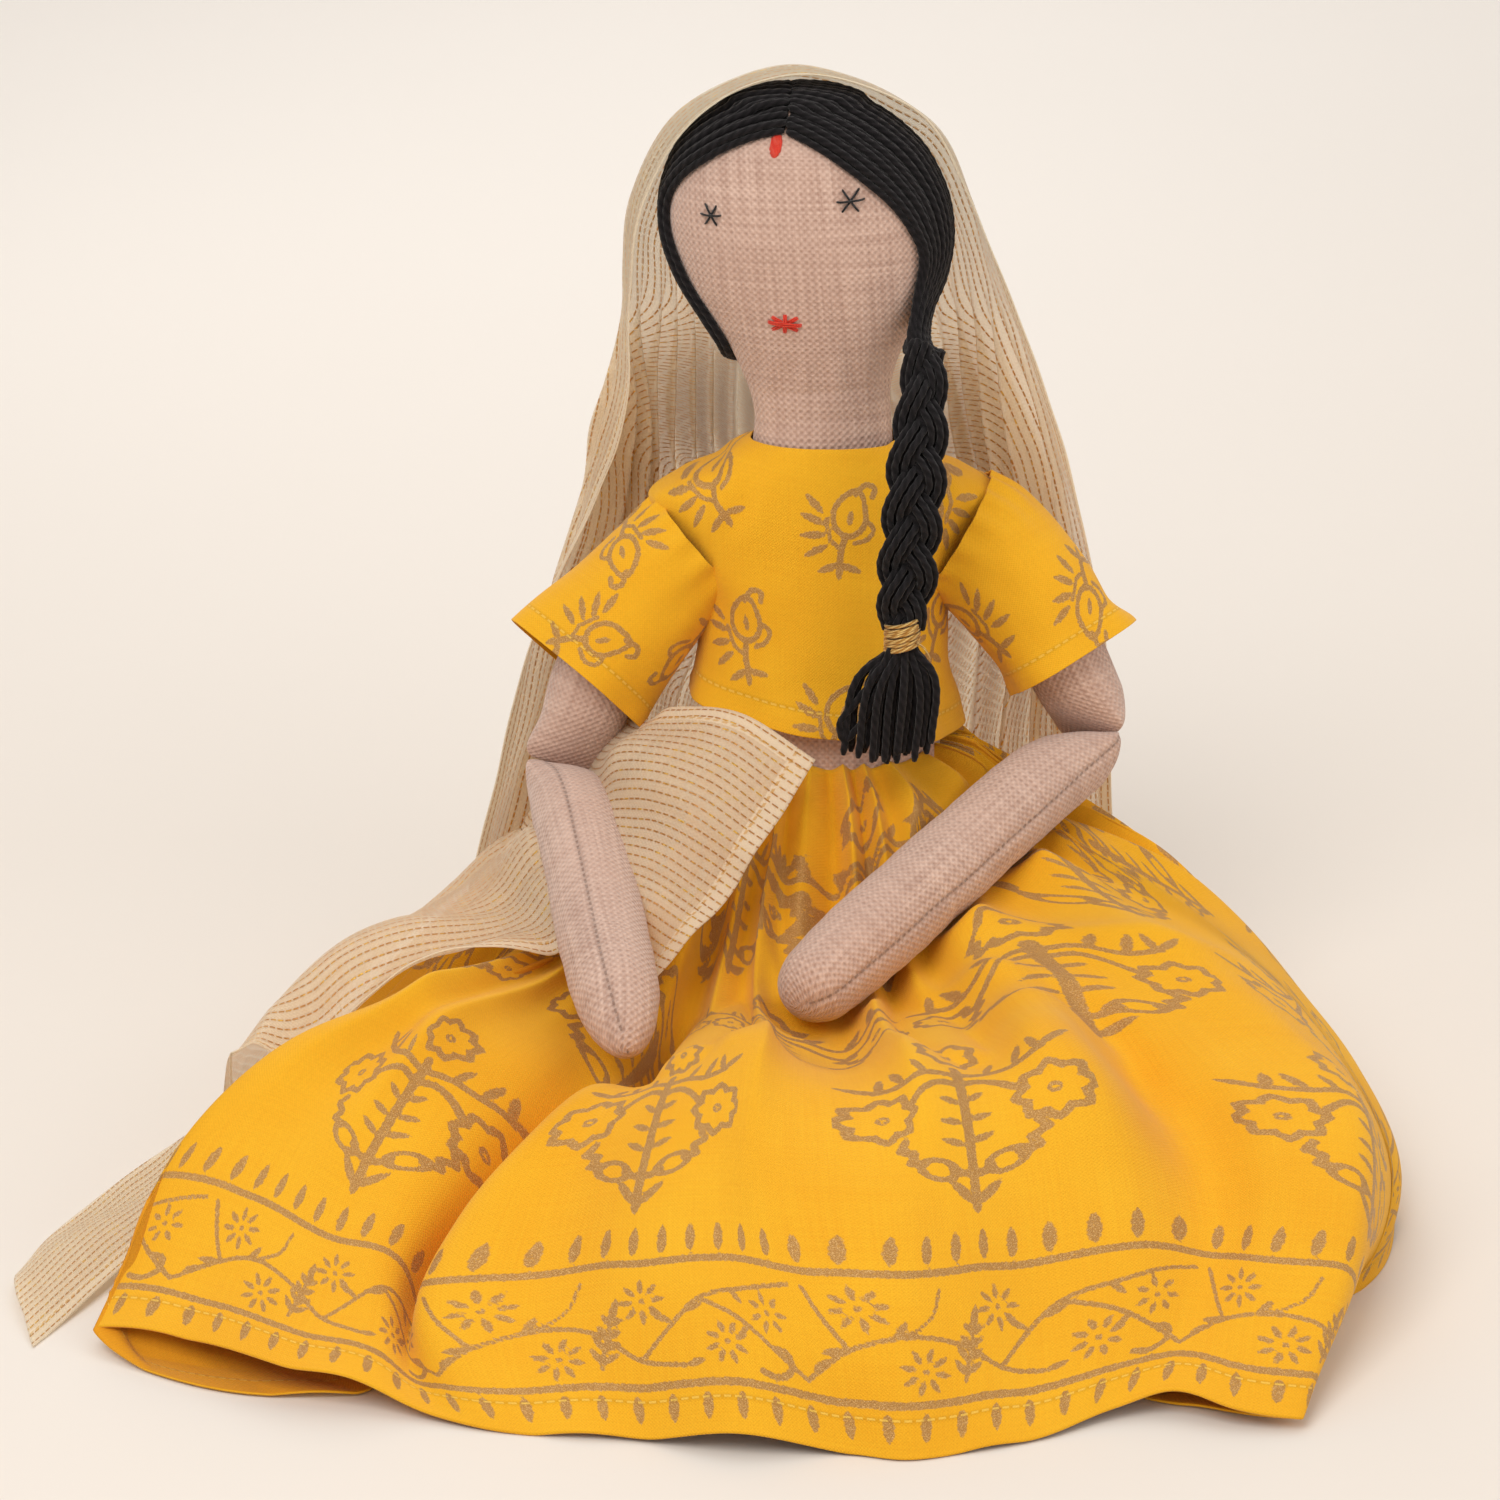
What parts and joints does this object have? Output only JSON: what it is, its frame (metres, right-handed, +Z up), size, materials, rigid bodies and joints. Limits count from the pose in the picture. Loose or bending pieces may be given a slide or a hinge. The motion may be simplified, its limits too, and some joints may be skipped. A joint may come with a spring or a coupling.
{
  "type": "rag doll",
  "caption": "Seated stuffed linen rag doll in a printed blouse and gathered skirt, with a yarn plait and a striped veil.",
  "frame": {"origin": "on the floor under the middle of the seat", "axes": "+Z up, the doll faces -Y, its right side is -X"},
  "size_m": [0.3366, 0.307, 0.2635],
  "materials": {
    "linen": "coarse plain woven linen, matt",
    "filling": "polyester fibre filling",
    "veil_cloth": "thin cream cotton with fine metallic stripes",
    "printed_cotton": "mustard cotton with gold block print",
    "fastening_tape": "hook and loop tape",
    "elastic": "woven elastic",
    "red_thread": "stranded embroidery thread",
    "black_thread": "stranded embroidery thread",
    "gold_thread": "metallic thread",
    "black_yarn": "wool yarn, matt"
  },
  "bodies": {
    "torso": {"torso_skin": "linen", "torso_filling": "filling", "choli_bodice": "printed_cotton", "closure_loop_strip": "fastening_tape", "closure_hook_strip": "fastening_tape", "skirt_cloth": "printed_cotton", "skirt_elastic": "elastic", "veil_back": "veil_cloth", "veil_wrap": "veil_cloth", "veil_lay": "veil_cloth", "veil_tail": "veil_cloth"},
    "head": {"head_skin": "linen", "head_filling": "filling", "bindi": "red_thread", "eye_right": "black_thread", "eye_left": "black_thread", "mouth": "red_thread", "hair_cap": "black_yarn", "veil_hood": "veil_cloth"},
    "plait": {"plait_strand_a": "black_yarn", "plait_strand_b": "black_yarn", "plait_strand_c": "black_yarn", "plait_tie": "gold_thread", "plait_tassel": "black_yarn"},
    "right_upper_arm": {"right_upper_arm_skin": "linen", "right_upper_arm_filling": "filling", "right_sleeve": "printed_cotton"},
    "right_forearm": {"right_forearm_skin": "linen", "right_forearm_filling": "filling"},
    "right_thigh": {"right_thigh_skin": "linen", "right_thigh_filling": "filling"},
    "right_shin": {"right_shin_skin": "linen", "right_shin_filling": "filling"},
    "left_upper_arm": {"left_upper_arm_skin": "linen", "left_upper_arm_filling": "filling", "left_sleeve": "printed_cotton"},
    "left_forearm": {"left_forearm_skin": "linen", "left_forearm_filling": "filling"},
    "left_thigh": {"left_thigh_skin": "linen", "left_thigh_filling": "filling"},
    "left_shin": {"left_shin_skin": "linen", "left_shin_filling": "filling"}
  },
  "joints": [
    {"name": "neck_nod", "type": "hinge", "parent": "torso", "child": "head", "pos_m": [-0.001, 0.0121, 0.1725], "axis": [1, 0, 0], "range_deg": [-12, 6], "stiffness_Nm_per_rad": 0.6},
    {"name": "plait_swing", "type": "hinge", "parent": "head", "child": "plait", "pos_m": [0.025, -0.014, 0.1955], "axis": [0, 1, 0], "range_deg": [-6, 10]},
    {"name": "right_shoulder", "type": "hinge", "parent": "torso", "child": "right_upper_arm", "pos_m": [-0.048, 0.009, 0.149], "axis": [-1, 0, 0], "range_deg": [0, 70]},
    {"name": "right_elbow", "type": "hinge", "parent": "right_upper_arm", "child": "right_forearm", "pos_m": [-0.0695, -0.0045, 0.079], "axis": [-1, 0, 0], "range_deg": [0, 25]},
    {"name": "left_shoulder", "type": "hinge", "parent": "torso", "child": "left_upper_arm", "pos_m": [0.048, 0.0095, 0.153], "axis": [-1, 0, 0], "range_deg": [0, 70]},
    {"name": "left_elbow", "type": "hinge", "parent": "left_upper_arm", "child": "left_forearm", "pos_m": [0.0725, 0, 0.0865], "axis": [-0.6182, 0.7062, -0.3451], "range_deg": [0, 10]},
    {"name": "right_hip", "type": "hinge", "parent": "torso", "child": "right_thigh", "pos_m": [-0.018, -0.0275, 0.013], "axis": [1, 0, 0], "range_deg": [0, 60]},
    {"name": "right_knee", "type": "hinge", "parent": "right_thigh", "child": "right_shin", "pos_m": [-0.03, -0.137, 0.043], "axis": [1, 0, 0], "range_deg": [0, 50]},
    {"name": "left_hip", "type": "hinge", "parent": "torso", "child": "left_thigh", "pos_m": [0.018, -0.0275, 0.013], "axis": [1, 0, 0], "range_deg": [0, 60]},
    {"name": "left_knee", "type": "hinge", "parent": "left_thigh", "child": "left_shin", "pos_m": [0.03, -0.137, 0.043], "axis": [1, 0, 0], "range_deg": [0, 50]}
  ]
}
